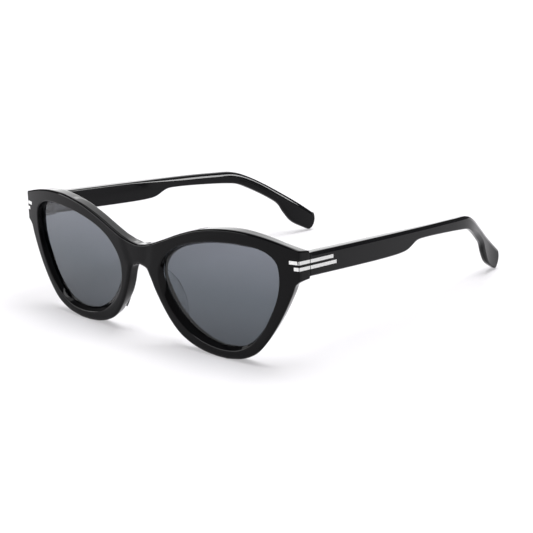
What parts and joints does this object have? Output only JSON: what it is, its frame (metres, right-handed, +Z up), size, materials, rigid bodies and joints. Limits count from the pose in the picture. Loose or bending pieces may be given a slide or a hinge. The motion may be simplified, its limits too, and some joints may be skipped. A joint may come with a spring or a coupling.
{
  "type": "cat eye sunglasses",
  "caption": "Cat eye sunglasses with a thick glossy black acetate frame, grey lenses, clear nose pads, light inlay stripes at the corners and hinged temples that fold.",
  "frame": {"origin": "middle of the bounding box at its bottom: on the surface the open sunglasses stand on, halfway between the front and the temple tips", "axes": "+X to the wearer's left, -Y the way the wearer looks, +Z up with the sunglasses standing open on the rims and the temple tips"},
  "size_m": [0.14, 0.1598, 0.0491],
  "materials": {
    "acetate": "polished black acetate",
    "lens": "grey tinted lens, polished",
    "clear": "clear moulded pad",
    "inlay": "white enamelled metal strip",
    "steel": "nickel silver, satin"
  },
  "bodies": {
    "front": {"front_frame": "acetate", "lens_left": "lens", "lens_right": "lens", "nose_pad_left": "clear", "nose_pad_right": "clear", "hinge_front_leaf_left": "steel", "hinge_front_leaf_right": "steel", "hinge_screw_left": "steel", "hinge_screw_right": "steel", "stripe_front_upper_left": "inlay", "stripe_front_upper_right": "inlay", "stripe_front_lower_left": "inlay", "stripe_front_lower_right": "inlay"},
    "temple_left": {"temple_left": "acetate", "core_wire_left": "steel", "hinge_temple_leaf_left": "steel", "stripe_temple_upper_left": "inlay", "stripe_temple_lower_left": "inlay"},
    "temple_right": {"temple_right": "acetate", "core_wire_right": "steel", "hinge_temple_leaf_right": "steel", "stripe_temple_upper_right": "inlay", "stripe_temple_lower_right": "inlay"}
  },
  "joints": [
    {"name": "temple_left_fold", "type": "hinge", "parent": "front", "child": "temple_left", "pos_m": [0.0634, -0.06304, 0.0383], "axis": [0, 0, 1], "range_deg": [0, 86]},
    {"name": "temple_right_fold", "type": "hinge", "parent": "front", "child": "temple_right", "pos_m": [-0.0634, -0.06304, 0.0383], "axis": [0, 0, -1], "range_deg": [0, 78]}
  ]
}
